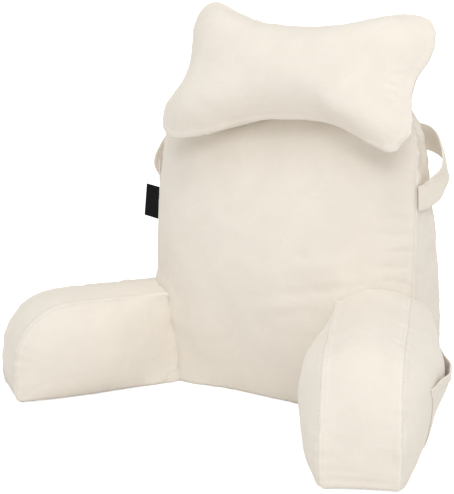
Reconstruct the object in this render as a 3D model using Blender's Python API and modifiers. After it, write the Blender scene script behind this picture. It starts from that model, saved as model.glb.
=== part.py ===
"""A reading pillow: a boxed backrest with two splayed arms, a head pillow, two side handles, a pocket and a tag.

Metres, +Z up. It stands on the plane z = 0 and is used from the -Y side: the sitter leans back along +Y,
with an arm on each side. It is laid out from a point between the feet of the arms, and then moved so that
the origin is the middle of its base.
Each cushion is a coarse cage of rings, from the middle of one panel over its seams to the middle of the other.
"""

import math

import bmesh
import bpy
from mathutils import Vector
from mathutils.bvhtree import BVHTree

# Backrest: a stuffed box cushion, thick at its foot and thin at its top
BACK_HEIGHT = 0.528
BACK_HALF = 0.260
BACK_TOP_HALF = 0.247
BACK_FOOT_CORNER = 0.030
BACK_TOP_CORNER = 0.115
BACK_MIDDLE_Z = 0.250
BACK_BOX_BULGE = 0.003
BACK_SPACING = 0.045

# Lines down the backrest: height, then y
SEAM_LINE = ((0.0, 0.088), (0.17, 0.091), (0.30, 0.096), (0.40, 0.105), (0.528, 0.128))
FRONT_LINE = (
    (0.000, 0.034),
    (0.030, 0.008),
    (0.080, -0.012),
    (0.150, -0.022),
    (0.240, -0.018),
    (0.330, -0.002),
    (0.410, 0.016),
    (0.480, 0.040),
    (0.510, 0.064),
    (0.528, 0.100),
)
REAR_LINE = ((0.000, 0.198), (0.060, 0.222), (0.180, 0.226), (0.300, 0.208), (0.420, 0.186), (0.528, 0.172))
BOX_LINE = ((0.0, 0.102), (0.17, 0.090), (0.25, 0.080), (0.31, 0.062), (0.36, 0.046), (0.42, 0.036), (0.528, 0.030))

# The foot of the front panel: straight in the middle, drawn forward to the feet of the arms
FOOT_MIDDLE_Y = 0.034
FOOT_ARM_Y = 0.010
FOOT_ARM_X = 0.160
FOOT_STRAIGHT_X = 0.085

# Arms: boxed bolsters with a strip over the top and round the end, and a bulging panel each side
ARM_FOOT_X = 0.1724
ARM_TAIL = 0.105
ARM_STRIP = 0.119
ARM_TOP_CORNER = 0.098
ARM_FOOT_CORNER = 0.012
ARM_TAIL_CORNER = 0.020
ARM_END_BULGE = 0.006
ARM_INNER_BULGE = 0.046
ARM_INNER_FOOT = 0.70
ARM_OUTER_FOOT = 0.55
ARM_INNER_FADE = 0.105
ARM_SPACING = 0.033
# side: which way it points, its splay, its length, its height, how much it rises towards the backrest,
# the crown of its strip and the bulge of its outer panel, which the stuffing makes a little unlike
ARMS = {
    "left": (-1, math.radians(31.0), 0.272, 0.161, 0.0, 0.016, 0.046),
    "right": (1, math.radians(28.6), 0.300, 0.176, 0.026, 0.028, 0.055),
}

# Head pillow: two bone-shaped panels sewn edge to edge, leaning back on the top of the backrest
HEAD_CENTRE = (0.055, 0.064, 0.539)
HEAD_LEAN = math.radians(28.5)
HEAD_TURN = math.radians(3.0)
HEAD_FRONT_BULGE = 0.064
HEAD_REAR_BULGE = 0.052
HEAD_POINTS = 44
# Its outline, as along and up from its centre, from the drawn-in right end round by the top
HEAD_OUTLINE = (
    (0.211, 0.000),
    (0.225, 0.038),
    (0.243, 0.077),
    (0.227, 0.106),
    (0.182, 0.117),
    (0.112, 0.104),
    (0.050, 0.088),
    (-0.020, 0.086),
    (-0.088, 0.089),
    (-0.142, 0.107),
    (-0.204, 0.128),
    (-0.233, 0.107),
    (-0.221, 0.060),
    (-0.211, 0.015),
    (-0.219, -0.035),
    (-0.248, -0.079),
    (-0.238, -0.112),
    (-0.194, -0.121),
    (-0.127, -0.103),
    (-0.060, -0.081),
    (0.015, -0.071),
    (0.085, -0.074),
    (0.152, -0.097),
    (0.210, -0.114),
    (0.236, -0.091),
    (0.219, -0.040),
)

# Handles: a flat strap that bows out from the front seam of each side to behind its back seam
HANDLE_WIDTH = 0.040
HANDLE_THICK = 0.0025
HANDLE_STEPS = 24
# How far each strap is sewn lower than its path, and how far its middle droops
HANDLE_HANG = {"left": (0.008, 0.042), "right": (0.0, 0.0)}
HANDLE_PATH = (
    # x, y, z, and how far the strap's width is turned from upright
    (0.2640, 0.100, 0.3580, 0.00),
    (0.2685, 0.121, 0.3600, 0.05),
    (0.2790, 0.131, 0.3760, 0.45),
    (0.2890, 0.138, 0.3990, 0.80),
    (0.2820, 0.148, 0.4200, 0.75),
    (0.2640, 0.159, 0.4360, 0.40),
    (0.2400, 0.166, 0.4440, 0.10),
    (0.2120, 0.160, 0.4490, 0.00),
)

# Pocket on the outer side of the right-hand arm, and the tag in the left-hand front seam
POCKET_FRONT_HEM = 0.220
POCKET_FRONT_FOOT = 0.185
POCKET_BACK = 0.010
POCKET_FOOT_Z = 0.030
POCKET_HEM_Z = 0.131
POCKET_THICK = 0.0020
POCKET_CLEAR = 0.0012
POCKET_GAPE = 0.016
POCKET_ACROSS = 18
POCKET_UP = 8
TAG_WIDTH = 0.036
TAG_HEIGHT = 0.058
TAG_THICK = 0.0016
TAG_Z = 0.2925
TAG_TILT = math.radians(7.0)

SEAT_GAP = 0.0003
POLE = 0.08

CLOTH_RGB = (0.84, 0.79, 0.72)
TAG_RGB = (0.012, 0.012, 0.013)


def smooth(t):
    t = min(max(t, 0.0), 1.0)
    return t * t * (3.0 - 2.0 * t)


def read_line(table, x):
    """The value of a two-column table at x, straight between its rows."""
    if x <= table[0][0]:
        return table[0][1]
    for (x0, y0), (x1, y1) in zip(table, table[1:]):
        if x <= x1:
            return y0 + (y1 - y0) * (x - x0) / (x1 - x0)
    return table[-1][1]


def stuffed(inset):
    """How full a panel stands at a share of the way from its seam (0) to its middle (1)."""
    return math.sqrt(max(0.0, 1.0 - (1.0 - inset) ** 2.3))


def curve_through(points, t, closed=False):
    """Catmull-Rom curve through a list of equal-length tuples, t from 0 to 1."""
    count = len(points)
    spans = count if closed else count - 1
    place = min(max(t, 0.0), 1.0) * spans
    i = min(int(place), spans - 1)
    u = place - i
    near = (i - 1, i, i + 1, i + 2)
    p0, p1, p2, p3 = (points[j % count if closed else min(max(j, 0), spans)] for j in near)
    return tuple(
        0.5 * (2 * b + (c - a) * u + (2 * a - 5 * b + 4 * c - d) * u**2 + (3 * b - a - 3 * c + d) * u**3)
        for a, b, c, d in zip(p0, p1, p2, p3)
    )


def spread_evenly(dense, count):
    """count points evenly spaced along a closed line of many points."""
    lengths = [0.0]
    for a, b in zip(dense, dense[1:] + dense[:1]):
        lengths.append(lengths[-1] + math.dist(a, b))
    total, spread, j = lengths[-1], [], 0
    for i in range(count):
        want = total * i / count
        while lengths[j + 1] < want:
            j += 1
        share = (want - lengths[j]) / max(lengths[j + 1] - lengths[j], 1e-12)
        a, b = dense[j], dense[(j + 1) % len(dense)]
        spread.append((a[0] + (b[0] - a[0]) * share, a[1] + (b[1] - a[1]) * share))
    return spread


def rounded_outline(corners, spacing):
    """Points round a convex outline, given as (x, z, corner radius) counterclockwise, about one spacing apart."""
    arcs = []
    for i, (x, z, radius) in enumerate(corners):
        here = Vector((x, z))
        before = (Vector(corners[i - 1][:2]) - here).normalized()
        after = (Vector(corners[(i + 1) % len(corners)][:2]) - here).normalized()
        half_angle = before.angle(after) / 2
        centre = here + (before + after).normalized() * (radius / math.sin(half_angle))
        start = here + before * (radius / math.tan(half_angle)) - centre
        turn = math.pi - 2 * half_angle
        steps = max(2, round(radius * turn / spacing))
        arcs.append([
            Vector((
                centre.x + start.x * math.cos(turn * k / steps) - start.y * math.sin(turn * k / steps),
                centre.y + start.x * math.sin(turn * k / steps) + start.y * math.cos(turn * k / steps),
            ))
            for k in range(steps + 1)
        ])
    points = []
    for arc, following in zip(arcs, arcs[1:] + arcs[:1]):
        points += arc
        run = following[0] - arc[-1]
        steps = max(1, round(run.length / spacing))
        points += [arc[-1] + run * k / steps for k in range(1, steps)]
    return [(at.x, at.y) for at in points]


def outward(points, i):
    """Unit normal of a counterclockwise outline at point i."""
    a, b = points[i - 1], points[(i + 1) % len(points)]
    along = Vector((b[0] - a[0], b[1] - a[1])).normalized()
    return Vector((along.y, -along.x))


def material(name, rgb, roughness):
    made = bpy.data.materials.new(name)
    made.use_nodes = True
    shader = made.node_tree.nodes["Principled BSDF"]
    shader.inputs["Base Color"].default_value = (*rgb, 1.0)
    shader.inputs["Roughness"].default_value = roughness
    shader.inputs["Metallic"].default_value = 0.0
    made.diffuse_color = (*rgb, 1.0)
    return made


def cushion(name, rings, seams, collection, cloth):
    """A stuffed solid: a cage through rings of points, its seam rings kept sharp, smoothed by subdivision."""
    cage = bmesh.new()
    rows = [[cage.verts.new(p) for p in ring] for ring in rings]
    count = len(rings[0])
    for low, high in zip(rows, rows[1:]):
        for i in range(count):
            j = (i + 1) % count
            cage.faces.new((low[i], low[j], high[j], high[i]))
    for row in (rows[0], rows[-1]):
        tip = cage.verts.new(sum((v.co for v in row), Vector()) / count)
        for i in range(count):
            cage.faces.new((row[i], row[(i + 1) % count], tip))
    bmesh.ops.recalc_face_normals(cage, faces=cage.faces)
    crease = cage.edges.layers.float.new("crease_edge")
    for seam in seams:
        for i in range(count):
            cage.edges.get((rows[seam][i], rows[seam][(i + 1) % count]))[crease] = 1.0
    made = finish_mesh(name, cage, collection, cloth)
    smoothing = made.modifiers.new("stuffing", "SUBSURF")
    smoothing.levels = smoothing.render_levels = 1
    made.modifiers.new("facets", "TRIANGULATE")
    return made


def sheet(name, rows, thickness, collection, cloth):
    """A thin sheet: an open grid of points made thick on the side its faces point to."""
    grid = bmesh.new()
    verts = [[grid.verts.new(p) for p in row] for row in rows]
    for low, high in zip(verts, verts[1:]):
        for i in range(len(low) - 1):
            grid.faces.new((low[i], low[i + 1], high[i + 1], high[i]))
    made = finish_mesh(name, grid, collection, cloth)
    wall = made.modifiers.new("thickness", "SOLIDIFY")
    wall.thickness = thickness
    wall.offset = 1.0
    made.modifiers.new("facets", "TRIANGULATE")
    return made


def finish_mesh(name, shape, collection, cloth):
    mesh = bpy.data.meshes.new(name)
    shape.to_mesh(mesh)
    shape.free()
    mesh.shade_smooth()
    mesh.set_sharp_from_angle(angle=math.radians(50))
    made = bpy.data.objects.new(name, mesh)
    made.data.materials.append(cloth)
    collection.objects.link(made)
    return made


def inset_steps(count):
    """Shares of the way from a seam to a panel's middle, closer together by the seam."""
    return [(k / count) ** 1.4 * (1.0 - POLE) for k in range(count + 1)]


def backrest_outline():
    """The backrest seen from the front, as (x, z)."""
    corners = [
        (BACK_HALF, 0.0, BACK_FOOT_CORNER),
        (BACK_HALF, BACK_HEIGHT * 0.64, 0.200),
        (BACK_TOP_HALF, BACK_HEIGHT, BACK_TOP_CORNER),
    ]
    return rounded_outline(corners + [(-x, z, radius) for x, z, radius in reversed(corners)], BACK_SPACING)


def foot_front(x):
    """y of the front panel's foot seam at a distance from the middle."""
    x = abs(x)
    inner = FOOT_MIDDLE_Y + (FOOT_ARM_Y - FOOT_MIDDLE_Y) * smooth((x - FOOT_STRAIGHT_X) / (FOOT_ARM_X - FOOT_STRAIGHT_X))
    outer = smooth((x - FOOT_ARM_X) / (BACK_HALF - FOOT_ARM_X))
    return inner + (SEAM_LINE[0][1] - inner) * outer


def backrest_seams(x, z):
    """(y of the front seam, y of the back seam) at a point of the backrest's outline."""
    low = 1.0 - smooth(z / 0.05)
    front = read_line(SEAM_LINE, z)
    front += (foot_front(x) - front) * low
    back = read_line(SEAM_LINE, z) + read_line(BOX_LINE, z)
    return front, back


def backrest_rings():
    outline = backrest_outline()
    middle = Vector((0.0, BACK_MIDDLE_Z))
    seams = [backrest_seams(x, z) for x, z in outline]
    front_rings, back_rings = [], []
    for inset in inset_steps(5):
        fullness = stuffed(inset)
        front_ring, back_ring = [], []
        for (x, z), (front, back) in zip(outline, seams):
            at = middle + (Vector((x, z)) - middle) * (1.0 - inset)
            front_ring.append((at.x, front + (read_line(FRONT_LINE, at.y) - front) * fullness, at.y))
            back_ring.append((at.x, back + (read_line(REAR_LINE, at.y) - back) * fullness, at.y))
        front_rings.append(front_ring)
        back_rings.append(back_ring)
    box_ring = []
    for i, ((x, z), (front, back)) in enumerate(zip(outline, seams)):
        at = Vector((x, z)) + outward(outline, i) * BACK_BOX_BULGE * smooth(z / 0.05)
        box_ring.append((at.x, (front + back) / 2, at.y))
    return front_rings[::-1] + [box_ring] + back_rings


def arm_outline(arm):
    """An arm seen from its side, as (distance forward from the backrest, z)."""
    length, height, rise = arm[2:5]
    return rounded_outline([
        (-ARM_TAIL, 0.0, ARM_TAIL_CORNER),
        (length, 0.0, ARM_FOOT_CORNER),
        (length - 0.004, height, ARM_TOP_CORNER),
        (-ARM_TAIL, height + rise, ARM_TAIL_CORNER),
    ], ARM_SPACING)


def arm_place(arm, ahead, out, z):
    """A point of an arm: ahead along it, out from its inner seam, z up."""
    sign, splay = arm[:2]
    x = ARM_FOOT_X + ahead * math.sin(splay) + out * math.cos(splay)
    y = -ahead * math.cos(splay) + out * math.sin(splay)
    return (sign * x, y, z)


def arm_rings(arm):
    outline = arm_outline(arm)
    _, _, length, height, _, crown, outer_bulge = arm
    middle = Vector(((length - ARM_TAIL) / 2, height * 0.46))
    inner_rings, outer_rings = [], []
    for inset in inset_steps(4):
        fullness = stuffed(inset)
        inner_ring, outer_ring = [], []
        for point in outline:
            at = middle + (Vector(point) - middle) * (1.0 - inset)
            drawn_in = ARM_INNER_FOOT + (1.0 - ARM_INNER_FOOT) * smooth(at.y / (height * 0.5))
            inner = -ARM_INNER_BULGE * drawn_in * fullness * smooth(at.x / ARM_INNER_FADE)
            inner_ring.append(arm_place(arm, at.x, inner, at.y))
            drawn_in = ARM_OUTER_FOOT + (1.0 - ARM_OUTER_FOOT) * smooth(at.y / (height * 0.8))
            outer_ring.append(arm_place(arm, at.x, ARM_STRIP + outer_bulge * drawn_in * fullness, at.y))
        inner_rings.append(inner_ring)
        outer_rings.append(outer_ring)
    strip_ring = []
    for i, point in enumerate(outline):
        facing = outward(outline, i)
        bulge = ARM_END_BULGE + (crown - ARM_END_BULGE) * max(facing.y, 0.0)
        at = Vector(point) + facing * bulge * smooth(point[1] / 0.04)
        strip_ring.append(arm_place(arm, at.x, ARM_STRIP / 2, at.y))
    return inner_rings[::-1] + [strip_ring] + outer_rings


def head_outline():
    """The head pillow's bone shape, counterclockwise, as (along, up)."""
    steps = 200
    return spread_evenly([curve_through(HEAD_OUTLINE, k / steps, closed=True) for k in range(steps)], HEAD_POINTS)


def head_place(along, up, out):
    """A point of the head pillow: along its length, up its face and out from its seam."""
    up_axis = Vector((0.0, math.sin(HEAD_LEAN), math.cos(HEAD_LEAN)))
    out_axis = Vector((0.0, -math.cos(HEAD_LEAN), math.sin(HEAD_LEAN)))
    at = Vector((along, 0, 0)) + up_axis * up + out_axis * out
    turned = Vector((
        at.x * math.cos(HEAD_TURN) - at.y * math.sin(HEAD_TURN),
        at.x * math.sin(HEAD_TURN) + at.y * math.cos(HEAD_TURN),
        at.z,
    ))
    return Vector(HEAD_CENTRE) + turned


def head_rings():
    outline = head_outline()
    front_rings, back_rings = [], []
    for inset in inset_steps(5):
        fullness = stuffed(inset)
        keep = 1.0 - inset
        front_rings.append([head_place(x * keep, z * keep, HEAD_FRONT_BULGE * fullness) for x, z in outline])
        back_rings.append([head_place(x * keep, z * keep, -HEAD_REAR_BULGE * fullness) for x, z in outline])
    return front_rings[::-1] + back_rings[1:]


def handle_rows(sign, lower, droop):
    """The strap's width at each step along its path, upright where it is sewn and turned where it bows out."""
    rows = []
    for k in range(HANDLE_STEPS + 1):
        t = k / HANDLE_STEPS
        x, y, z, turn = curve_through(HANDLE_PATH, t)
        ahead = Vector(curve_through(HANDLE_PATH, min(t + 0.02, 1.0))[:3])
        behind = Vector(curve_through(HANDLE_PATH, max(t - 0.02, 0.0))[:3])
        along = (ahead - behind).normalized()
        width = Vector((math.sin(turn) * 0.3, -math.sin(turn), math.cos(turn)))
        width = (width - along * width.dot(along)).normalized()
        row = [Vector((x, y, z)) + width * HANDLE_WIDTH * share for share in (-0.5, -0.17, 0.17, 0.5)]
        fall = lower + droop * math.sin(math.pi * t**0.6)
        rows.append([(sign * at.x, at.y, at.z - fall) for at in row][::sign])
    return rows


def pocket_rows(arm_solid, arm):
    """The pocket: a patch laid on the arm's outer panel, sewn on three sides, its top hem gaping."""
    bpy.context.view_layer.update()
    panel = BVHTree.FromObject(arm_solid, bpy.context.evaluated_depsgraph_get())
    splay = arm[1]
    inward = Vector((-math.cos(splay), -math.sin(splay), 0.0))
    rows = []
    for j in range(POCKET_UP + 1):
        up = j / POCKET_UP
        z = POCKET_FOOT_Z + (POCKET_HEM_Z - POCKET_FOOT_Z) * up
        front = POCKET_FRONT_FOOT + (POCKET_FRONT_HEM - POCKET_FRONT_FOOT) * up
        row = []
        for k in range(POCKET_ACROSS + 1):
            across = k / POCKET_ACROSS
            ahead = front + (POCKET_BACK - front) * across
            start = Vector(arm_place(arm, ahead, 0.3, z))
            on_panel, facing, _, _ = panel.ray_cast(start, inward)
            gape = POCKET_GAPE * math.sin(math.pi * across) ** 1.2 * up**2.2
            row.append(on_panel + facing * POCKET_CLEAR - inward * gape)
        rows.append(row)
    return rows


def make_tag(collection, tape):
    """The tag: a short tape folded flat, caught by the left-hand front seam and standing out from it."""
    bpy.ops.mesh.primitive_cube_add(size=1.0)
    made = bpy.context.object
    made.name = made.data.name = "side_tag"
    made.scale = (TAG_WIDTH + 0.006, TAG_THICK, TAG_HEIGHT)
    made.rotation_euler = (0.0, TAG_TILT, 0.0)
    front, back = backrest_seams(BACK_HALF, TAG_Z)
    made.location = (-BACK_HALF - (TAG_WIDTH - 0.006) / 2, front + 0.004, TAG_Z)
    for holder in list(made.users_collection):
        holder.objects.unlink(made)
    collection.objects.link(made)
    made.data.materials.append(tape)
    return made


def seat_in(solid, gap, collection):
    """A hidden cutter: the solid grown by the gap that the pieces sewn to it keep."""
    cutter = bpy.data.objects.new(solid.name + "_seat", solid.data)
    for used in solid.modifiers:
        copy = cutter.modifiers.new(used.name, used.type)
        if used.type == "SUBSURF":
            copy.levels = copy.render_levels = used.levels
    grow = cutter.modifiers.new("gap", "DISPLACE")
    grow.strength = gap
    grow.mid_level = 0.0
    cutter.hide_render = True
    cutter.display_type = "WIRE"
    collection.objects.link(cutter)
    return cutter


def trim(solid, cutter):
    cut = solid.modifiers.new("seat", "BOOLEAN")
    cut.operation = "DIFFERENCE"
    cut.solver = "EXACT"
    cut.object = cutter


def centre_on_base(parts, cutters):
    """Carry everything on one empty, so that the middle of the part's base comes to the origin."""
    frame = bpy.data.objects.new("frame", None)
    parts.objects.link(frame)
    bpy.context.view_layer.update()
    shapes = bpy.context.evaluated_depsgraph_get()
    places = []
    for piece in parts.objects:
        if piece.type == "MESH":
            shaped = piece.evaluated_get(shapes)
            places += [shaped.matrix_world @ vertex.co for vertex in shaped.data.vertices]
    for piece in [*parts.objects, *cutters.objects]:
        if piece is not frame:
            piece.parent = frame
    for axis in (0, 1):
        frame.location[axis] = -(min(at[axis] for at in places) + max(at[axis] for at in places)) / 2


def main():
    for old in list(bpy.data.objects):
        bpy.data.objects.remove(old)
    parts = bpy.data.collections.new("reading_pillow")
    cutters = bpy.data.collections.new("cutters")
    bpy.context.scene.collection.children.link(parts)
    bpy.context.scene.collection.children.link(cutters)
    cloth = material("cream_plush", CLOTH_RGB, 0.9)
    tape = material("black_tape", TAG_RGB, 0.6)

    backrest = cushion("backrest", backrest_rings(), (5, 7), parts, cloth)
    seat = seat_in(backrest, SEAT_GAP, cutters)
    for side, arm in ARMS.items():
        solid = cushion("arm_" + side, arm_rings(arm), (4, 6), parts, cloth)
        if side == "right":
            sheet("pocket_right", pocket_rows(solid, arm), POCKET_THICK, parts, cloth)
        trim(solid, seat)
        strap = handle_rows(arm[0], *HANDLE_HANG[side])
        trim(sheet("handle_" + side, strap, HANDLE_THICK, parts, cloth), seat)
    head = cushion("head_pillow", head_rings(), (5,), parts, cloth)
    trim(head, seat)
    trim(make_tag(parts, tape), seat)
    centre_on_base(parts, cutters)


main()
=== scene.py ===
"""The looks of a reading pillow: plush cushions, two handles, a hemmed pocket and a bare tag."""

import math
from collections import namedtuple

import bmesh
import bpy
import numpy as np
from mathutils import Matrix, Vector, noise
from mathutils.bvhtree import BVHTree
from mathutils.kdtree import KDTree


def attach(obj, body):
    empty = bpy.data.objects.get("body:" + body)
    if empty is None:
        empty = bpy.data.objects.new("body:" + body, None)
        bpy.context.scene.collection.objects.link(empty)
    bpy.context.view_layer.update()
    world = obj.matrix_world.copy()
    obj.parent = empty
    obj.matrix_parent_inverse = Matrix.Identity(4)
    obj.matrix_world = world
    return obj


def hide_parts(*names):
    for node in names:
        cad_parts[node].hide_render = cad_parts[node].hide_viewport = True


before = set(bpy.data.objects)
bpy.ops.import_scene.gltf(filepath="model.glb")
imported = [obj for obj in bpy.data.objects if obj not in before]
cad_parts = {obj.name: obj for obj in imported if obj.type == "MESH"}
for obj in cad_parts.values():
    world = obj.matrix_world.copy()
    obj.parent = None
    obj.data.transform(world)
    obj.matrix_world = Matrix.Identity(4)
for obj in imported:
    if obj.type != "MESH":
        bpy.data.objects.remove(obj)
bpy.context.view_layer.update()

# The pillow is laid out from a point between the arms' feet, and this moves it to the frame's origin
SHIFT = Vector((-0.00502, 0.02011, 0.0))

# Camera of the photograph: angles, focal length as drawn on the picture's long side, and what it looks at
VIEW_AZIMUTH = math.radians(37.193)
VIEW_ELEVATION = math.radians(13.1804)
VIEW_ROLL = math.radians(-0.8178)
VIEW_TARGET = SHIFT + Vector((-0.0402, 0.0, 0.2600))
VIEW_DISTANCE = 2.640
VIEW_FOCAL = 116.93
SENSOR = 36.0

# Distance between the points that a seam line is made of
SEAM_SPACING = 0.004

# Backrest
BACK_HEIGHT = 0.528
BACK_HALF = 0.260
BACK_TOP_HALF = 0.247
BACK_FOOT_CORNER = 0.030
BACK_BEND_SHARE = 0.64
BACK_BEND_CORNER = 0.200
BACK_TOP_CORNER = 0.115
BACK_CROWN = 0.055
FOOT_SEAM_HEIGHT = 0.05
# Heights, with the front seam's y in the first table and the side strip's depth in the second
SEAM_LINE = ((0.0, 0.088), (0.17, 0.091), (0.30, 0.096), (0.40, 0.105), (0.528, 0.128))
BOX_LINE = (
    (0.0, 0.102),
    (0.17, 0.090),
    (0.25, 0.080),
    (0.31, 0.062),
    (0.36, 0.046),
    (0.42, 0.036),
    (0.528, 0.030),
)
FOOT_MIDDLE_Y = 0.034
FOOT_ARM_Y = 0.010
FOOT_ARM_X = 0.160
FOOT_STRAIGHT_X = 0.085
# Folds of the front panel: x and z of both ends, width, and height or depth
BACK_FOLDS = (
    (0.020, 0.172, 0.135, 0.190, 0.011, 0.0016),
    (0.050, 0.196, 0.180, 0.216, 0.008, -0.0013),
    (0.110, 0.220, 0.215, 0.232, 0.010, 0.0015),
    (0.200, 0.225, 0.258, 0.222, 0.004, -0.0018),
    (0.194, 0.252, 0.258, 0.246, 0.005, -0.0022),
    (0.205, 0.276, 0.258, 0.273, 0.004, -0.0018),
    (0.196, 0.303, 0.258, 0.298, 0.005, -0.0020),
    (0.206, 0.328, 0.257, 0.325, 0.004, -0.0018),
    (0.198, 0.356, 0.256, 0.350, 0.005, -0.0022),
    (0.208, 0.384, 0.254, 0.382, 0.004, -0.0016),
    (0.085, 0.262, 0.112, 0.250, 0.012, -0.0024),
)

# Arms
ARM_FOOT_X = 0.1724
ARM_TAIL = 0.105
ARM_STRIP = 0.119
ARM_TOP_CORNER = 0.098
ARM_FOOT_CORNER = 0.012
ARM_TAIL_CORNER = 0.020
ARM_END_LEAN = 0.004
Arm = namedtuple("Arm", "sign splay length height rise strip_dome end_slant panel_dome")
ARMS = {
    "left": Arm(
        sign=-1,
        splay=math.radians(31.0),
        length=0.272,
        height=0.161,
        rise=0.0,
        strip_dome=0.0,
        end_slant=0.010,
        panel_dome=0.0,
    ),
    "right": Arm(
        sign=1,
        splay=math.radians(28.6),
        length=0.300,
        height=0.176,
        rise=0.026,
        strip_dome=0.009,
        end_slant=0.0,
        panel_dome=0.009,
    ),
}

# Head pillow
HEAD_CENTRE = (0.055, 0.064, 0.539)
HEAD_LEAN = math.radians(28.5)
HEAD_TURN = math.radians(3.0)
HEAD_STRETCH = 1.016
HEAD_THICK = 0.030
HEAD_STEPS = 400
HEAD_SMOOTHING = 26
HEAD_SMOOTHING_REACH = 3
HEAD_SMOOTHING_PULLS = (0.60, -0.61)
# Points round the head pillow's seam, along it and up its face
HEAD_OUTLINE = (
    (0.211, 0.000),
    (0.225, 0.038),
    (0.243, 0.077),
    (0.227, 0.106),
    (0.182, 0.117),
    (0.112, 0.104),
    (0.050, 0.088),
    (-0.020, 0.086),
    (-0.088, 0.089),
    (-0.142, 0.107),
    (-0.204, 0.128),
    (-0.233, 0.107),
    (-0.221, 0.060),
    (-0.211, 0.015),
    (-0.219, -0.035),
    (-0.248, -0.079),
    (-0.238, -0.112),
    (-0.194, -0.121),
    (-0.127, -0.103),
    (-0.060, -0.081),
    (0.015, -0.071),
    (0.085, -0.074),
    (0.152, -0.097),
    (0.210, -0.114),
    (0.236, -0.091),
    (0.219, -0.040),
)
# Folds of its right end: along and up of both ends, width, and depth
HEAD_FOLDS = (
    (0.184, 0.008, 0.214, 0.007, 0.003, -0.0012),
    (0.172, -0.009, 0.214, -0.011, 0.0035, -0.0017),
    (0.182, -0.024, 0.218, -0.026, 0.003, -0.0015),
    (0.174, -0.040, 0.220, -0.040, 0.0035, -0.0016),
)

# Handles
HANDLE_WIDTH = 0.040
HANDLE_THICK = 0.0022
HANDLE_STEPS = 72
HANDLE_ACROSS = 8
HANDLE_STITCH_SHARE = 0.84
# How much lower each handle is sewn on, and how far it droops
HANDLE_HANG = {"left": (0.008, 0.042), "right": (0.0, 0.0)}
HANDLE_PATH = (
    # x, y, z, and how far the strap's width is turned from upright
    (0.2640, 0.100, 0.3580, 0.00),
    (0.2685, 0.121, 0.3600, 0.05),
    (0.2790, 0.131, 0.3760, 0.45),
    (0.2890, 0.138, 0.3990, 0.80),
    (0.2820, 0.148, 0.4200, 0.75),
    (0.2640, 0.159, 0.4360, 0.40),
    (0.2400, 0.166, 0.4440, 0.10),
    (0.2120, 0.160, 0.4490, 0.00),
)

# Pocket
POCKET_FRONT_HEM = 0.220
POCKET_FRONT_FOOT = 0.185
POCKET_BACK = 0.010
POCKET_FOOT_Z = 0.030
POCKET_HEM_Z = 0.131
POCKET_THICK = 0.0015
POCKET_CLEAR = 0.0004
POCKET_GAPE = 0.008
POCKET_HEM = 0.012
POCKET_ACROSS = 64
POCKET_UP = 40
POCKET_RIPPLE = 0.0012
POCKET_STITCH_INSET = 2
# The turned hem, over the top and down outside: rise or drop, and distance out
POCKET_TURN = (
    (0.0006, 0.0016),
    (-0.0010, 0.0026),
    (-0.0050, 0.0027),
    (-0.0090, 0.0025),
    (-POCKET_HEM, 0.0021),
)

# Tag
TAG_WIDTH = 0.036
TAG_HEIGHT = 0.058
TAG_Z = 0.2925
TAG_TILT = math.radians(7.0)
TAG_TAPE = 0.0006
TAG_SEWN_IN = 0.006
TAG_BEHIND_SEAM = 0.004
TAG_HALF_FOLD = 0.00050
TAG_BOW = 0.0007
TAG_STEPS = 14

# Stuffing: the cloth is drawn in a little, blown up to a limit, and held at its seams
Stuffing = namedtuple("Stuffing", "voxel rounds edge crimp swell drawn")
BACK_STUFFING = Stuffing(voxel=0.0063, rounds=90, edge=0.55, crimp=1.0, swell=0.007, drawn=0.0)
ARM_STUFFING = Stuffing(voxel=0.005, rounds=60, edge=0.35, crimp=0.7, swell=0.002, drawn=0.0)
HEAD_STUFFING = Stuffing(voxel=0.005, rounds=150, edge=0.90, crimp=0.45, swell=0.007, drawn=0.9)
FIRST_SMOOTHING = 26
LAST_SMOOTHING = 6
DRAWN_IN = 0.003
DRAWN_REACH = 0.008
EDGE_REACH = 0.030
FOOT_START = 0.002
FOOT_HOLD = 0.012
SWELL_FRAMES = 20
PRESSURE = 4.0
SEAM_HOLD = 0.011
SEAM_HOLD_START = 0.003
NEAR = 0.020
SEWN_REACH = 0.014
SEWN_FADE = 0.55
SEWN_IN = 0.0015
MERGE_GAP = 0.00002
FLOOR_NEAR = 0.0006
FLOOR_CLEAR = 0.0004

# Beside each seam: a groove, a welt, and puckers that start a little way off and fade
GROOVE_DEPTH = 0.0005
GROOVE_WIDTH = 0.0032
WELT_HEIGHT = 0.0011
WELT_PLACE = 0.0075
WELT_WIDTH = 0.0036
Pucker = namedtuple("Pucker", "depth wave reach seed fade start")
FINE_PUCKER = Pucker(depth=0.0042, wave=0.012, reach=0.050, seed=1.0, fade=0.017, start=0.005)
BROAD_PUCKER = Pucker(depth=0.0040, wave=0.036, reach=0.110, seed=2.0, fade=0.045, start=0.012)

# Dents all over the cushions: depth, size and seed
DENTS = ((0.0022, 0.085, 1.0), (0.0010, 0.036, 2.0))

# Sewing
STITCH_LENGTH = 0.0030
STITCH_PITCH = 0.0042
STITCH_WIDTH = 0.0007

# Colours
PLUSH_BRIGHT = (0.872, 0.812, 0.730, 1.0)
PLUSH_DEEP = (0.812, 0.754, 0.674, 1.0)
# Painted shade: the plush colour darkened, laid as a line along each seam's groove
PLUSH_SEAM_PAINTED_SHADE = (0.660, 0.600, 0.520, 1.0)
# Painted highlight: the plush colour lightened, laid as a stripe along the welt beside each seam
PLUSH_WELT_PAINTED_HIGHLIGHT = (0.925, 0.880, 0.815, 1.0)
THREAD_RGB = (0.880, 0.820, 0.730, 1.0)
TAPE_DARK = (0.006, 0.006, 0.007, 1.0)
TAPE_LIGHT = (0.011, 0.011, 0.012, 1.0)
FLOOR_RGB = (0.93, 0.93, 0.93, 1.0)
FLOOR_SHADE = (0.90, 0.90, 0.90, 1.0)
BLACK = (0.0, 0.0, 0.0, 1.0)
WHITE = (1.0, 1.0, 1.0, 1.0)

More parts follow.
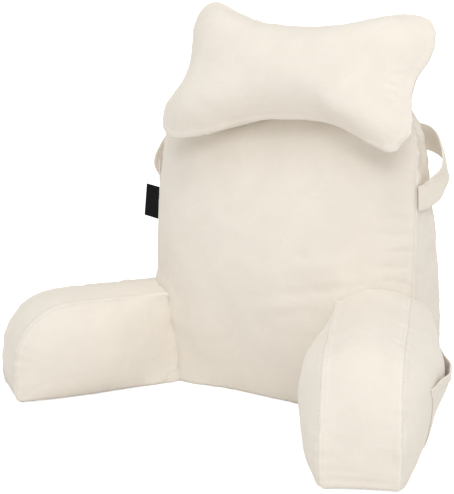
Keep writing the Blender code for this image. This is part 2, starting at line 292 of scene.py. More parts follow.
# Light: angles, distance, size and power of each soft box, and the studio around
KEY_LIGHT = (44.0, 38.0, 6.0, 2.6, 92.0)
TOP_LIGHT = (25.0, 76.0, 4.5, 2.1, 40.0)
LIGHT_TARGET = Vector((0.0, 0.0, 0.25))
STUDIO_RGB = (1.0, 0.995, 0.975, 1.0)
STUDIO_LIGHT = 0.67


def smooth(t):
    t = min(max(t, 0.0), 1.0)
    return t * t * (3.0 - 2.0 * t)


def smooth_all(t):
    """The same for an array."""
    t = np.clip(t, 0.0, 1.0)
    return t * t * (3.0 - 2.0 * t)


def read_line(table, x):
    """The value of a two-column table at x, straight between its rows."""
    if x <= table[0][0]:
        return table[0][1]
    for (x0, y0), (x1, y1) in zip(table, table[1:]):
        if x <= x1:
            return y0 + (y1 - y0) * (x - x0) / (x1 - x0)
    return table[-1][1]


def curve_through(points, t, closed=False):
    """A smooth curve through a list of equal-length tuples, t from 0 to 1."""
    count = len(points)
    spans = count if closed else count - 1
    place = min(max(t, 0.0), 1.0) * spans
    i = min(int(place), spans - 1)
    u = place - i
    near = (i - 1, i, i + 1, i + 2)
    p0, p1, p2, p3 = (points[j % count if closed else min(max(j, 0), spans)] for j in near)
    return tuple(
        0.5 * (2 * b + (c - a) * u + (2 * a - 5 * b + 4 * c - d) * u**2 + (3 * b - a - 3 * c + d) * u**3)
        for a, b, c, d in zip(p0, p1, p2, p3)
    )


def rounded_outline(corners, spacing):
    """Points round a convex outline of (x, z, corner radius), counterclockwise, about one spacing apart."""
    arcs = []
    for i, (x, z, radius) in enumerate(corners):
        here = Vector((x, z))
        before = (Vector(corners[i - 1][:2]) - here).normalized()
        after = (Vector(corners[(i + 1) % len(corners)][:2]) - here).normalized()
        half_angle = before.angle(after) / 2
        centre = here + (before + after).normalized() * (radius / math.sin(half_angle))
        start = here + before * (radius / math.tan(half_angle)) - centre
        turn = math.pi - 2 * half_angle
        steps = max(2, round(radius * turn / spacing))
        arcs.append([
            Vector((
                centre.x + start.x * math.cos(turn * k / steps) - start.y * math.sin(turn * k / steps),
                centre.y + start.x * math.sin(turn * k / steps) + start.y * math.cos(turn * k / steps),
            ))
            for k in range(steps + 1)
        ])
    points = []
    for arc, following in zip(arcs, arcs[1:] + arcs[:1]):
        points += arc
        run = following[0] - arc[-1]
        steps = max(1, round(run.length / spacing))
        points += [arc[-1] + run * k / steps for k in range(1, steps)]
    return [(at.x, at.y) for at in points]


def foot_front(x):
    """y of the front panel's foot seam at a distance from the middle."""
    x = abs(x)
    bent = smooth((x - FOOT_STRAIGHT_X) / (FOOT_ARM_X - FOOT_STRAIGHT_X))
    inner = FOOT_MIDDLE_Y + (FOOT_ARM_Y - FOOT_MIDDLE_Y) * bent
    outer = smooth((x - FOOT_ARM_X) / (BACK_HALF - FOOT_ARM_X))
    return inner + (SEAM_LINE[0][1] - inner) * outer


def backrest_seams(x, z):
    """(y of the front seam, y of the back seam) at a point of the backrest's outline."""
    low = 1.0 - smooth(z / FOOT_SEAM_HEIGHT)
    front = read_line(SEAM_LINE, z)
    front += (foot_front(x) - front) * low
    back = read_line(SEAM_LINE, z) + read_line(BOX_LINE, z)
    return front, back


def backrest_seam_lines():
    corners = [
        (BACK_HALF, 0.0, BACK_FOOT_CORNER),
        (BACK_HALF, BACK_HEIGHT * BACK_BEND_SHARE, BACK_BEND_CORNER),
        (BACK_TOP_HALF, BACK_HEIGHT, BACK_TOP_CORNER),
    ]
    mirrored = [(-x, z, radius) for x, z, radius in reversed(corners)]
    outline = rounded_outline(corners + mirrored, SEAM_SPACING)
    front, back = [], []
    for x, z in outline:
        front_y, back_y = backrest_seams(x, z)
        front.append(SHIFT + Vector((x, front_y, z)))
        back.append(SHIFT + Vector((x, back_y, z)))
    return front, back


def back_place(x, z):
    """A point just in front of the backrest's front seam."""
    front, _ = backrest_seams(x, z)
    crown = BACK_CROWN * (1.0 - (abs(x) / BACK_HALF) ** 2.5)
    return SHIFT + Vector((x, front - crown, z))


def arm_place(arm, ahead, out, z):
    """A point of an arm: ahead along it, out from its inner seam, z up."""
    x = ARM_FOOT_X + ahead * math.sin(arm.splay) + out * math.cos(arm.splay)
    y = -ahead * math.cos(arm.splay) + out * math.sin(arm.splay)
    return SHIFT + Vector((arm.sign * x, y, z))


def arm_out(arm, at):
    """How far out from the arm's inner seam a point lies."""
    place = at - SHIFT
    return (arm.sign * place.x - ARM_FOOT_X) * math.cos(arm.splay) + place.y * math.sin(arm.splay)


def arm_seam_lines(arm):
    corners = [
        (-ARM_TAIL, 0.0, ARM_TAIL_CORNER),
        (arm.length, 0.0, ARM_FOOT_CORNER),
        (arm.length - ARM_END_LEAN, arm.height, ARM_TOP_CORNER),
        (-ARM_TAIL, arm.height + arm.rise, ARM_TAIL_CORNER),
    ]
    outline = rounded_outline(corners, SEAM_SPACING)
    return tuple([arm_place(arm, ahead, out, z) for ahead, z in outline] for out in (0.0, ARM_STRIP))


def head_axes():
    """The head pillow's own axes: along it, up its face, and out of it."""
    turned = Matrix.Rotation(HEAD_TURN, 3, "Z")
    up = turned @ Vector((0.0, math.sin(HEAD_LEAN), math.cos(HEAD_LEAN)))
    out = turned @ Vector((0.0, -math.cos(HEAD_LEAN), math.sin(HEAD_LEAN)))
    return turned @ Vector((1.0, 0.0, 0.0)), up, out


def head_place(across, rise):
    """A point of the head pillow's front panel."""
    along, up, out = head_axes()
    return SHIFT + Vector(HEAD_CENTRE) + along * across + up * rise + out * HEAD_THICK


def head_seam_line():
    along, up, _ = head_axes()
    centre = SHIFT + Vector(HEAD_CENTRE)
    places = [k / HEAD_STEPS for k in range(HEAD_STEPS)]
    outline = np.array([curve_through(HEAD_OUTLINE, t, closed=True) for t in places])
    reach = HEAD_SMOOTHING_REACH
    for _ in range(HEAD_SMOOTHING):
        for pull in HEAD_SMOOTHING_PULLS:
            around = (np.roll(outline, reach, axis=0) + np.roll(outline, -reach, axis=0)) / 2
            outline += pull * (around - outline)
    return [centre + along * (x * HEAD_STRETCH) + up * z for x, z in outline]


def mesh_object(name, shape):
    """A piece at the origin, from the shape built for it."""
    mesh = bpy.data.meshes.new(name)
    shape.to_mesh(mesh)
    shape.free()
    mesh.shade_smooth()
    made = bpy.data.objects.new(name, mesh)
    bpy.context.scene.collection.objects.link(made)
    return made


def settle(piece):
    """Applies a piece's modifiers."""
    bpy.context.view_layer.update()
    shaped = piece.evaluated_get(bpy.context.evaluated_depsgraph_get())
    mesh = bpy.data.meshes.new_from_object(shaped)
    old = piece.data
    piece.modifiers.clear()
    piece.data = mesh
    bpy.data.meshes.remove(old)
    mesh.name = piece.name
    mesh.shade_smooth()


def read_points(mesh, what="co"):
    values = np.empty(len(mesh.vertices) * 3)
    if what == "co":
        mesh.vertices.foreach_get("co", values)
    else:
        mesh.vertex_normals.foreach_get("vector", values)
    return values.reshape(-1, 3)


def write_points(mesh, points):
    mesh.vertices.foreach_set("co", points.reshape(-1))
    mesh.update()


def neighbour_mean(mesh):
    """A function that gives each vertex the mean of its neighbours' values."""
    pairs = np.empty(len(mesh.edges) * 2, dtype=np.int64)
    mesh.edges.foreach_get("vertices", pairs)
    a, b = pairs.reshape(-1, 2).T
    count = len(mesh.vertices)
    degree = np.bincount(a, minlength=count) + np.bincount(b, minlength=count)

    def mean(values):
        sums = [np.bincount(a, values[b, k], count) + np.bincount(b, values[a, k], count) for k in range(3)]
        return np.stack(sums, axis=1) / degree[:, None]

    return mean


def relax(mesh, points, keep, rounds):
    """Evens out a surface without shrinking it, less where keep is near 1."""
    mean = neighbour_mean(mesh)
    for _ in range(rounds):
        for pull in (0.50, -0.52):
            points = points + (mean(points) - points) * (pull * (1.0 - keep))[:, None]
    return points


def fair(mesh, points, keep, rounds):
    """Takes dents and ridges out of a surface, and gives back the broad form that this costs."""
    mean = neighbour_mean(mesh)
    share = (0.6 * (1.0 - keep))[:, None]

    def soften(values):
        for _ in range(rounds):
            values = values + (mean(values) - values) * share
        return values

    smoothed = soften(points)
    return smoothed + soften(points - smoothed)


def seam_samples(lines):
    """Each point of the seam lines, with its line's number and its run along the line."""
    samples = []
    for number, line in enumerate(lines):
        run = 0.0
        for here, following in zip(line, line[1:] + line[:1]):
            samples.append((here, number, run))
            run += (following - here).length
    return samples


class SeamMap:
    """Where each point of a cushion lies from its nearest seam."""

    def __init__(self, samples):
        self.samples = samples
        self.tree = KDTree(len(samples))
        for i, (at, _, _) in enumerate(samples):
            self.tree.insert(at, i)
        self.tree.balance()

    def laid_on(self, surface):
        """The same seams, moved onto a surface."""
        return SeamMap([(surface.find_nearest(at)[0], number, run) for at, number, run in self.samples])

    def read(self, points):
        """Arrays of distance, seam number and run along the seam, and the nearest seam points."""
        gaps = np.empty(len(points))
        numbers = np.empty(len(points), dtype=np.int64)
        runs = np.empty(len(points))
        nearest = np.empty((len(points), 3))
        for i, at in enumerate(points):
            _, index, gap = self.tree.find(at)
            place, number, run = self.samples[index]
            gaps[i], numbers[i], runs[i] = gap, number, run
            nearest[i] = place
        return gaps, numbers, runs, nearest


def merged_solid(node):
    """A CAD solid's shape with its loose triangles joined."""
    shape = bmesh.new()
    shape.from_mesh(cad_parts[node].data)
    bmesh.ops.remove_doubles(shape, verts=shape.verts, dist=MERGE_GAP)
    return shape


def solid_surface(node):
    shape = merged_solid(node)
    surface = BVHTree.FromBMesh(shape)
    shape.free()
    return surface


def surface_of(piece):
    """A piece's mesh, to cast rays at and find near places on."""
    mesh = piece.data
    return BVHTree.FromPolygons([v.co for v in mesh.vertices], [tuple(f.vertices) for f in mesh.polygons])


def nearness(points, surfaces):
    """0 on a neighbour's surface to 1 away from all of them."""
    free = np.ones(len(points))
    for surface in surfaces:
        for i, at in enumerate(points):
            _, _, _, gap = surface.find_nearest(at, NEAR)
            if gap is not None:
                free[i] = min(free[i], smooth(gap / NEAR))
    return free


def blow_up(piece, held):
    """The cloth under the pressure of its filling, held where held is 1. Returns where its points go."""
    group = piece.vertex_groups.new(name="sewn")
    for i, weight in enumerate(held):
        if weight > 0.01:
            group.add([i], float(weight), "REPLACE")
    cloth = piece.modifiers.new("cloth", "CLOTH")
    feel = cloth.settings
    feel.quality = 4
    feel.mass = 0.3
    feel.tension_stiffness = 18.0
    feel.compression_stiffness = 18.0
    feel.shear_stiffness = 6.0
    feel.bending_stiffness = 0.8
    feel.use_pressure = True
    feel.uniform_pressure_force = PRESSURE
    feel.vertex_group_mass = "sewn"
    feel.effector_weights.gravity = 0.0
    cloth.collision_settings.use_collision = False
    cloth.point_cache.frame_start = 1
    cloth.point_cache.frame_end = SWELL_FRAMES
    scene = bpy.context.scene
    for step in range(1, SWELL_FRAMES + 1):
        scene.frame_set(step)
    shaped = piece.evaluated_get(bpy.context.evaluated_depsgraph_get())
    blown = read_points(shaped.data).copy()
    piece.modifiers.clear()
    piece.vertex_groups.clear()
    scene.frame_set(1)
    return blown


def noise_over(points, size, seed):
    offset = Vector((seed * 7.3, seed * 3.1, seed * 5.7))
    return np.array([noise.noise(Vector(at) / size + offset) for at in points])


def wavy(gaps, runs, numbers, wave, reach, seed):
    """Noise in the direction of a seam and across it, different at each seam."""
    return np.array([
        noise.noise(Vector((run / wave, gap / reach, number * 3.7 + seed)))
        for gap, run, number in zip(gaps, runs, numbers)
    ])


def puckers(kind, gaps, signed, runs, numbers):
    """Ridges across a seam that fade away from it."""
    ridges = wavy(signed, runs, numbers, kind.wave, kind.reach, kind.seed)
    return kind.depth * (ridges * np.exp(-gaps / kind.fade) * smooth_all(gaps / kind.start))


def seam_relief(gaps, signed, runs, numbers, crimp):
    """How far the cloth stands out beside its seams."""
    sewn = -GROOVE_DEPTH * np.exp(-((gaps / GROOVE_WIDTH) ** 2))
    sewn += WELT_HEIGHT * np.exp(-(((signed - WELT_PLACE) / WELT_WIDTH) ** 2))
    patches = 0.35 + 0.65 * smooth_all(0.5 + 2.2 * wavy(gaps * 0, runs, numbers, 0.10, 1.0, 5.0))
    fine = puckers(FINE_PUCKER, gaps, signed, runs, numbers)
    broad = puckers(BROAD_PUCKER, gaps, signed, runs, numbers)
    return sewn + crimp * (fine + broad) * patches


def sewn_onto(points, surface):
    """Draws the edge of a cushion down onto the one that it is sewn to."""
    for i, at in enumerate(points):
        near, facing, _, gap = surface.find_nearest(at, SEWN_REACH)
        if gap is not None:
            pull = math.exp(-((gap / (SEWN_REACH * SEWN_FADE)) ** 2))
            points[i] += (np.array(near - facing * SEWN_IN) - at) * pull
    return points


def blown_cloth(name, seams, surfaces, stuffing):
    """A CAD cushion remade in even cloth, blown up between its seams, then made finer."""
    piece = mesh_object(name + "_cloth", merged_solid(name))
    remesh = piece.modifiers.new("weave", "REMESH")
    remesh.mode = "VOXEL"
    remesh.voxel_size = stuffing.voxel
    settle(piece)
    mesh = piece.data
    points = read_points(mesh)
    gaps, _, _, nearest = seams.read(points)
    drawn = stuffing.drawn * np.exp(-((gaps / DRAWN_REACH) ** 2))
    points = points + (nearest - points) * drawn[:, None]
    beside = 1.0 - smooth_all(gaps / EDGE_REACH)
    near_seam = stuffing.edge * beside
    on_foot = 1.0 - smooth_all((points[:, 2] - FOOT_START) / FOOT_HOLD)
    points = relax(mesh, points, np.maximum(0.10 + 0.90 * near_seam, on_foot), FIRST_SMOOTHING)
    write_points(mesh, points)
    free = nearness(points, surfaces)
    held = np.maximum(0.97 * beside, 1.0 - free)
    points = fair(mesh, points, np.maximum(held, on_foot), stuffing.rounds)
    write_points(mesh, points)
    held = np.maximum(1.0 - smooth_all((gaps - SEAM_HOLD_START) / SEAM_HOLD), 1.0 - free)
    write_points(mesh, points - read_points(mesh, "normal") * (DRAWN_IN * (1.0 - held))[:, None])
    move = blow_up(piece, held) - points
    reach = np.linalg.norm(move, axis=1)
    limit = stuffing.swell * np.tanh(reach / stuffing.swell) / np.maximum(reach, 1e-9)
    blown = points + move * (limit * free * (1.0 - on_foot))[:, None]
    points = relax(mesh, blown, np.maximum(0.2 + 0.8 * near_seam, on_foot), LAST_SMOOTHING)
    write_points(mesh, points)
    finer = piece.modifiers.new("finer", "SUBSURF")
    finer.levels = finer.render_levels = 1
    settle(piece)
    return piece


def stuffed_cushion(name, lines, side_of, neighbours, stuffing, folds=(), sewn_to=None, dome=None):
    """A CAD cushion remade in cloth, then its seams, puckers, dents and folds put in."""
    seams = SeamMap(seam_samples(lines))
    surfaces = [solid_surface(node) for node in neighbours]
    piece = blown_cloth(name, seams, surfaces, stuffing)
    mesh = piece.data
    points = read_points(mesh)
    surface = surface_of(piece)
    gaps, numbers, runs, nearest = seams.laid_on(surface).read(points)
    signed = gaps * np.sign(side_of(points, nearest, numbers))
    lift = seam_relief(gaps, signed, runs, numbers, stuffing.crimp)
    lift += sum(depth * noise_over(points, size, seed) for depth, size, seed in DENTS)
    for a, b, width, depth in folds:
        lift += depth * fold_near(points, surface, a, b, width)
    lift *= 0.15 + 0.85 * nearness(points, surfaces)
    points = points + read_points(mesh, "normal") * lift[:, None]
    if dome is not None:
        points += dome(points)
    if sewn_to is not None:
        points = sewn_onto(points, sewn_to)
    points[points[:, 2] < FLOOR_NEAR, 2] = FLOOR_CLEAR
    write_points(mesh, points)
    layer = mesh.attributes.new("seam_side", "FLOAT", "POINT")
    layer.data.foreach_set("value", signed)
    piece.name = name + "_cushion"
    mesh.name = piece.name
    return piece


def fold_near(points, surface, a, b, width):
    """1 along a fold laid on the surface from a to b, fading with distance and towards its ends."""
    steps = 24
    line = KDTree(steps + 1)
    for k in range(steps + 1):
        line.insert(surface.find_nearest(a.lerp(b, k / steps))[0], k)
    line.balance()
    values = np.zeros(len(points))
    middle = (a + b) / 2.0
    near = np.linalg.norm(points - np.array(middle), axis=1) < (b - a).length / 2.0 + 0.06
    for i in np.flatnonzero(near):
        _, k, gap = line.find(points[i])
        fade = math.sin(math.pi * min(max(k / steps, 0.02), 0.98)) ** 0.7
        values[i] = math.exp(-((gap / width) ** 2)) * fade
    return values


def folds_at(place, table):
    """Folds from a table of both ends, width, and height or depth."""
    return [(place(x0, z0), place(x1, z1), width, depth) for x0, z0, x1, z1, width, depth in table]


def sheet_from(name, rows, thickness, offset):
    """A thin sheet: a grid of points made thick."""
    grid = bmesh.new()
    verts = [[grid.verts.new(p) for p in row] for row in rows]
    weave = grid.loops.layers.uv.new("weave")
    for j, (low, high) in enumerate(zip(rows, rows[1:])):
        for i in range(len(low) - 1):
            face = grid.faces.new((verts[j][i], verts[j][i + 1], verts[j + 1][i + 1], verts[j + 1][i]))
            for loop, (u, v) in zip(face.loops, ((i, j), (i + 1, j), (i + 1, j + 1), (i, j + 1))):
                loop[weave].uv = (u / (len(low) - 1), v / (len(rows) - 1))
    piece = mesh_object(name, grid)
    wall = piece.modifiers.new("thickness", "SOLIDIFY")
    wall.thickness = thickness
    wall.offset = offset
    edge = piece.modifiers.new("edge", "BEVEL")
    edge.width = thickness * 0.45
    edge.segments = 3
    edge.limit_method = "ANGLE"
    edge.angle_limit = math.radians(50)
    return piece


def run_length(points):
    return sum((b - a).length for a, b in zip(points, points[1:]))


def handle_rows(side, sign):
    """The strap's width at each step along its path."""
    lower, droop = HANDLE_HANG[side]
    half = HANDLE_WIDTH / 2
    rows = []
    for k in range(HANDLE_STEPS + 1):
        t = k / HANDLE_STEPS
        x, y, z, turn = curve_through(HANDLE_PATH, t)
        ahead = Vector(curve_through(HANDLE_PATH, min(t + 0.02, 1.0))[:3])
        behind = Vector(curve_through(HANDLE_PATH, max(t - 0.02, 0.0))[:3])
        along = (ahead - behind).normalized()
        width = Vector((math.sin(turn) * 0.3, -math.sin(turn), math.cos(turn)))
        width = (width - along * width.dot(along)).normalized()
        facing = width.cross(along).normalized()
        fall = lower + droop * math.sin(math.pi * t**0.6)
        row = []
        for i in range(HANDLE_ACROSS + 1):
            share = 2.0 * i / HANDLE_ACROSS - 1.0
            curl = 0.0012 * share * share + 0.0009 * noise.noise(Vector((t * 9.0, share * 1.4, sign * 4.0)))
            at = Vector((x, y, z)) + width * half * share + facing * curl * math.sin(math.pi * t)
            row.append(SHIFT + Vector((sign * at.x, at.y, at.z - fall)))
        rows.append(row[::sign])
    return rows


def make_handle(side, sign):
    """A strap with a row of stitches along both edges, on both faces."""
    rows = handle_rows(side, sign)
    strap = sheet_from("handle_" + side + "_strap", rows, HANDLE_THICK, 1.0)
    settle(strap)
    strap.data.materials.append(STRAP_CLOTH)
    surface = surface_of(strap)
    lines = []
    for edge_at in (0, -1):
        middles = [row[len(row) // 2] for row in rows[2:-2]]
        edges = [row[edge_at] for row in rows[2:-2]]
        lines.append([middle + (edge - middle) * HANDLE_STITCH_SHARE for middle, edge in zip(middles, edges)])
    stitches = [laid(line, surface, face) for face in (-1, 1) for line in lines]
    seams = sew("handle_" + side + "_stitches", stitches)
    ride_root(strap)
    ride_root(seams)
    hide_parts("handle_" + side)
    length = run_length([row[len(row) // 2] for row in rows])
    print("SHEET", strap.name, HANDLE_WIDTH, length)


def laid(line, surface, face):
    """A line of points laid on one face of a thin piece."""
    points = []
    for at in line:
        near, normal, _, _ = surface.find_nearest(at)
        start = near + normal * face * 0.02
        hit, _, _, _ = surface.ray_cast(start, -normal * face)
        points.append(hit if hit is not None else near)
    return points


def stitch_tree():
    """Sets a stitch at every pitch along its curves, as one mesh."""
    tree = bpy.data.node_groups.new("running_stitch", "GeometryNodeTree")
    face = tree.interface
    face.new_socket("Geometry", in_out="INPUT", socket_type="NodeSocketGeometry")
    for label in ("Pitch", "Length", "Width"):
        face.new_socket(label, in_out="INPUT", socket_type="NodeSocketFloat")
    face.new_socket("Thread", in_out="INPUT", socket_type="NodeSocketMaterial")
    face.new_socket("Geometry", in_out="OUTPUT", socket_type="NodeSocketGeometry")
    nodes, links = tree.nodes, tree.links
    source = nodes.new("NodeGroupInput")
    result = nodes.new("NodeGroupOutput")
    spread = nodes.new("GeometryNodeCurveToPoints")
    spread.mode = "LENGTH"
    bead = nodes.new("GeometryNodeMeshUVSphere")
    bead.inputs["Segments"].default_value = 6
    bead.inputs["Rings"].default_value = 5
    bead.inputs["Radius"].default_value = 0.5
    size = nodes.new("ShaderNodeCombineXYZ")
    place = nodes.new("GeometryNodeInstanceOnPoints")
    whole = nodes.new("GeometryNodeRealizeInstances")
    dye = nodes.new("GeometryNodeSetMaterial")
    links.new(source.outputs["Geometry"], spread.inputs["Curve"])
    links.new(source.outputs["Pitch"], spread.inputs["Length"])
    links.new(source.outputs["Width"], size.inputs["X"])
    links.new(source.outputs["Width"], size.inputs["Y"])
    links.new(source.outputs["Length"], size.inputs["Z"])
    links.new(spread.outputs["Points"], place.inputs["Points"])
    links.new(bead.outputs["Mesh"], place.inputs["Instance"])
    links.new(spread.outputs["Rotation"], place.inputs["Rotation"])
    links.new(size.outputs["Vector"], place.inputs["Scale"])
    links.new(place.outputs["Instances"], whole.inputs["Geometry"])
    links.new(whole.outputs["Geometry"], dye.inputs["Geometry"])
    links.new(source.outputs["Thread"], dye.inputs["Material"])
    links.new(dye.outputs["Geometry"], result.inputs["Geometry"])
    return tree


def sew(name, lines):
    """Rows of stitches along lines of points."""
    guide = bpy.data.curves.new(name, "CURVE")
    guide.dimensions = "3D"
    for line in lines:
        spline = guide.splines.new("POLY")
        spline.points.add(len(line) - 1)
        for point, at in zip(spline.points, line):
            point.co = (*at, 1.0)
    track = bpy.data.objects.new(name + "_line", guide)
    bpy.context.scene.collection.objects.link(track)
    needle = track.modifiers.new("stitches", "NODES")
    needle.node_group = STITCH_TREE
    values = {"Pitch": STITCH_PITCH, "Length": STITCH_LENGTH, "Width": STITCH_WIDTH, "Thread": THREAD}
    for item in STITCH_TREE.interface.items_tree:
        if item.in_out == "INPUT" and item.name in values:
            needle[item.identifier] = values[item.name]
    bpy.context.view_layer.update()
    shaped = track.evaluated_get(bpy.context.evaluated_depsgraph_get())
    mesh = bpy.data.meshes.new_from_object(shaped)
    bpy.data.objects.remove(track)
    mesh.name = name
    mesh.shade_smooth()
    piece = bpy.data.objects.new(name, mesh)
    bpy.context.scene.collection.objects.link(piece)
    return piece


def ride_root(piece):
    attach(piece, "root")


def pocket_rows(panel, arm, inward):
    """A grid of points laid on the arm's outer panel, gaping towards its top."""
    rows = []
    for j in range(POCKET_UP + 1):
        up = j / POCKET_UP
        z = POCKET_FOOT_Z + (POCKET_HEM_Z - POCKET_FOOT_Z) * up
        front = POCKET_FRONT_FOOT + (POCKET_FRONT_HEM - POCKET_FRONT_FOOT) * up
        row = []
        for k in range(POCKET_ACROSS + 1):
            across = k / POCKET_ACROSS
            ahead = front + (POCKET_BACK - front) * across
            on_panel, facing, _, _ = panel.ray_cast(arm_place(arm, ahead, 0.3, z), inward)
            open_here = math.sin(math.pi * across) ** 1.2 * up**2.2
            waves = noise.noise(Vector((across * 9.0, up * 3.0, 2.0)))
            ripple = POCKET_RIPPLE * waves * math.sin(math.pi * across)
            out = POCKET_GAPE * open_here + ripple * (0.3 + up)
            row.append(on_panel + facing * POCKET_CLEAR - inward * out)
        rows.append(row)
    for _ in range(3):
        rows = soften_rows(rows)
    return rows


def make_pocket(arm_piece, arm):
    """A patch sewn to the arm's outer panel on three sides, its top hem folded over and gaping."""
    inward = Vector((-math.cos(arm.splay), -math.sin(arm.splay), 0.0))
    rows = pocket_rows(surface_of(arm_piece), arm, inward)
    top = rows[-1]
    turned = [[at - inward * out + Vector((0.0, 0.0, drop)) for at in top] for drop, out in POCKET_TURN]
    sheet_rows = rows + turned
    pocket = sheet_from("pocket_right_patch", sheet_rows, POCKET_THICK, 1.0)
    settle(pocket)
    pocket.data.materials.append(STRAP_CLOTH)
    surface = surface_of(pocket)

    def outside(at):
        hit, _, _, _ = surface.ray_cast(at - inward * 0.03, inward)
        return hit if hit is not None else at

    inset = POCKET_STITCH_INSET
    left = [outside(row[inset]) for row in rows[inset:]]
    foot = [outside(at) for at in rows[inset][inset:-inset]]
    right = [outside(row[-1 - inset]) for row in rows[inset:]]
    hem = [outside(at + Vector((0.0, 0.0, 0.002 - POCKET_HEM))) for at in top[inset:-inset]]
    seams = sew("pocket_stitches", [left, foot, right, hem])
    ride_root(pocket)
    ride_root(seams)
    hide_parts("pocket_right")
    width = run_length(rows[len(rows) // 2])
    height = run_length([row[POCKET_ACROSS // 2] for row in sheet_rows])
    print("SHEET", pocket.name, width, height)


def soften_rows(rows):
    """One round of evening out a grid of points, its border kept."""
    out = [list(row) for row in rows]
    for j in range(1, len(rows) - 1):
        for k in range(1, len(rows[0]) - 1):
            around = rows[j - 1][k] + rows[j + 1][k] + rows[j][k - 1] + rows[j][k + 1]
            out[j][k] = rows[j][k] * 0.5 + around * 0.125
    return out


def make_tag():
    """The tag: a tape folded at its outer end, both ends caught in the seam."""
    front, _ = backrest_seams(BACK_HALF, TAG_Z)
    outer = (TAG_WIDTH - TAG_SEWN_IN) / 2
    centre = SHIFT + Vector((-BACK_HALF - outer, front + TAG_BEHIND_SEAM, TAG_Z))
    half = (TAG_WIDTH + TAG_SEWN_IN) / 2
    along = Vector((math.cos(TAG_TILT), 0.0, -math.sin(TAG_TILT)))
    up = Vector((math.sin(TAG_TILT), 0.0, math.cos(TAG_TILT)))
    depth = TAG_HALF_FOLD
    profile = [(half - 0.0800 * half * k, depth) for k in range(0, 25)]
    turns = [math.pi * k / 8 for k in range(1, 8)]
    fold = [(-half + depth - depth * math.sin(turn), depth * math.cos(turn)) for turn in turns]
    path = profile + fold + [(x, -y) for x, y in reversed(profile)]
    rows = []
    for j in range(TAG_STEPS + 1):
        height = (j / TAG_STEPS - 0.5) * TAG_HEIGHT
        row = []
        for x, y in path:
            bow = TAG_BOW * math.sin(math.pi * (x + half) / (2 * half)) * (height / TAG_HEIGHT)
            row.append(centre + along * x + up * height + Vector((0.0, y + bow, 0.0)))
        rows.append(row)
    tag = sheet_from("side_tag_tape", rows, TAG_TAPE, 0.0)
    settle(tag)
    tag.data.materials.append(TAPE)
    ride_root(tag)
    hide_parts("side_tag")
    length = run_length(rows[0])
    print("SHEET", tag.name, length, TAG_HEIGHT)


class Wire:
    """A node's output. Sums and products of wires and numbers add nodes that work them out."""

    def __init__(self, finish, socket):
        self.finish = finish
        self.socket = socket

    def math(self, operation, *values):
        return self.finish.node("ShaderNodeMath", {"operation": operation}, dict(enumerate(values)))

    def __add__(self, other):
        return self.math("ADD", self, other)

    __radd__ = __add__

    def __sub__(self, other):
        return self.math("SUBTRACT", self, other)

    def __rsub__(self, other):
        return self.math("SUBTRACT", other, self)

    def __mul__(self, other):
        return self.math("MULTIPLY", self, other)

    __rmul__ = __mul__

    def __truediv__(self, other):
        return self.math("DIVIDE", self, other)

    def size(self):
        return self.math("ABSOLUTE", self)

    def clamped(self):
        return self.finish.node("ShaderNodeClamp", {}, {"Value": self})

    def wave(self):
        return self.math("SINE", self)

    def beside(self, output):
        """Another output of the same node."""
        return Wire(self.finish, self.socket.node.outputs[output])


class Finish:
    """A material and the nodes that feed its shader."""

    def __init__(self, name, **fixed):
        self.material = bpy.data.materials.new(name)
        self.material.use_nodes = True
        self.nodes = self.material.node_tree.nodes
        self.links = self.material.node_tree.links
        self.shader = self.nodes["Principled BSDF"]
        for label, value in fixed.items():
            self.feed(self.shader.inputs[label.replace("_", " ")], value)

    def feed(self, socket, value):
        if isinstance(value, Wire):
            self.links.new(value.socket, socket)
        else:
            socket.default_value = value

    def node(self, kind, settings, inputs, output=0):
        made = self.nodes.new(kind)
        for label, value in settings.items():
            setattr(made, label, value)
        for label, value in inputs.items():
            self.feed(made.inputs[label], value)
        return Wire(self, made.outputs[output])

    def place(self):
        return self.node("ShaderNodeTexCoord", {}, {}, "Object")

    def cloth_place(self):
        return self.node("ShaderNodeUVMap", {"uv_map": "weave"}, {})

    def noise(self, place, scale, detail=2.0, roughness=0.5, distortion=0.0):
        sockets = {"Vector": place, "Scale": scale, "Detail": detail}
        sockets.update({"Roughness": roughness, "Distortion": distortion})
        return self.node("ShaderNodeTexNoise", {}, sockets, "Fac")

    def attribute(self, name):
        return self.node("ShaderNodeAttribute", {"attribute_name": name}, {}, "Fac")

    def blend(self, share, first, second):
        return self.node("ShaderNodeMix", {"data_type": "RGBA"}, {0: share, 6: first, 7: second}, 2)

    def bump(self, height, distance, strength=1.0, over=None):
        sockets = {"Height": height, "Distance": distance, "Strength": strength}
        if over is not None:
            sockets["Normal"] = over
        return self.node("ShaderNodeBump", {}, sockets)

    def wear(self, colour, normal=None):
        self.feed(self.shader.inputs["Base Color"], colour)
        if normal is not None:
            self.feed(self.shader.inputs["Normal"], normal)
        return self.material


